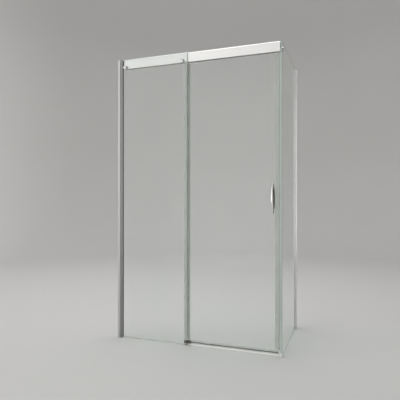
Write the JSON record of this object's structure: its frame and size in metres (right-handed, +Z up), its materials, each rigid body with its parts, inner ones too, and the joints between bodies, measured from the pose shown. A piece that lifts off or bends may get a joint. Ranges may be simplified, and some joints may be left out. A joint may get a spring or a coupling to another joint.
{
  "type": "corner shower enclosure",
  "caption": "Corner shower enclosure with a fixed front pane, a side pane and a sliding glass door that hangs on rollers hidden in a bright header rail.",
  "frame": {"origin": "centre of the footprint's bounding box, at floor level", "axes": "+X along the front from the left wall to the side glass, +Y from the front into the shower towards the rear wall, +Z up"},
  "size_m": [1.186, 0.68, 2],
  "materials": {
    "clear_glass": "clear toughened glass with polished edges",
    "bright_aluminium": "bright polished anodised",
    "satin_aluminium": "satin anodised",
    "dull_aluminium": "satin anodised, in the shade of the wall channel",
    "chrome_metal": "polished plated",
    "plain_steel": "plain turned",
    "clear_seal": "clear flexible strip with a faint green cast",
    "dark_rubber": "matt",
    "grey_plastic": "moulded dark grey",
    "white_nylon": "moulded off-white",
    "magnet_strip": "flexible magnet strip"
  },
  "bodies": {
    "frame": {"fixed_glass": "clear_glass", "side_glass": "clear_glass", "header_rail": "bright_aluminium", "threshold_strip": "bright_aluminium", "wall_channel_left": "satin_aluminium", "wall_channel_right": "satin_aluminium", "glass_channel_left": "dull_aluminium", "glass_channel_right": "dull_aluminium", "fixing_caps": "chrome_metal", "corner_cap": "chrome_metal", "corner_foot": "chrome_metal", "corner_bracket": "chrome_metal", "channel_screws_left": "plain_steel", "channel_screws_right": "plain_steel", "corner_bolt": "plain_steel", "fixing_bolts": "plain_steel", "fixing_nuts": "plain_steel", "guide_screws": "plain_steel", "fixed_edge_seal": "clear_seal", "side_jamb_seal": "clear_seal", "fixed_floor_channel": "clear_seal", "side_floor_channel": "clear_seal", "corner_washers": "clear_seal", "fixing_washers": "clear_seal", "glass_gasket_left": "dark_rubber", "glass_gasket_right": "dark_rubber", "door_stop_bumpers": "dark_rubber", "channel_cap_left": "grey_plastic", "channel_cap_right": "grey_plastic", "header_wall_bracket": "grey_plastic", "door_stops": "grey_plastic", "bottom_guide": "grey_plastic", "threshold_end_cap": "grey_plastic", "guide_liners": "white_nylon", "side_magnet": "magnet_strip"},
    "door": {"door_glass": "clear_glass", "door_edge_seal": "clear_seal", "door_magnet_seal": "clear_seal", "door_magnet": "magnet_strip", "door_bottom_seal": "clear_seal", "door_sweep_lip": "dark_rubber", "handle_outer": "chrome_metal", "handle_inner": "chrome_metal", "handle_bolts": "plain_steel", "handle_washers": "clear_seal", "roller_axles": "plain_steel", "roller_clamp_discs": "plain_steel", "roller_bushes": "white_nylon", "roller_nuts": "plain_steel"},
    "left_wheel": {"roller_wheel_left": "white_nylon", "roller_bearing_left": "plain_steel"},
    "right_wheel": {"roller_wheel_right": "white_nylon", "roller_bearing_right": "plain_steel"}
  },
  "joints": [
    {"name": "door_slide", "type": "slide", "parent": "frame", "child": "door", "axis": [-1, 0, 0], "range_m": [0, 0.453]},
    {"name": "left_wheel_spin", "type": "hinge", "parent": "door", "child": "left_wheel", "pos_m": [0.006, -0.286, 1.9528], "axis": [0, 1, 0], "continuous": true},
    {"name": "right_wheel_spin", "type": "hinge", "parent": "door", "child": "right_wheel", "pos_m": [0.478, -0.286, 1.9528], "axis": [0, 1, 0], "continuous": true}
  ],
  "couplings": [
    {"joint": "left_wheel_spin", "follows": "door_slide", "rad_per_m": -92.593},
    {"joint": "right_wheel_spin", "follows": "door_slide", "rad_per_m": -92.593}
  ]
}
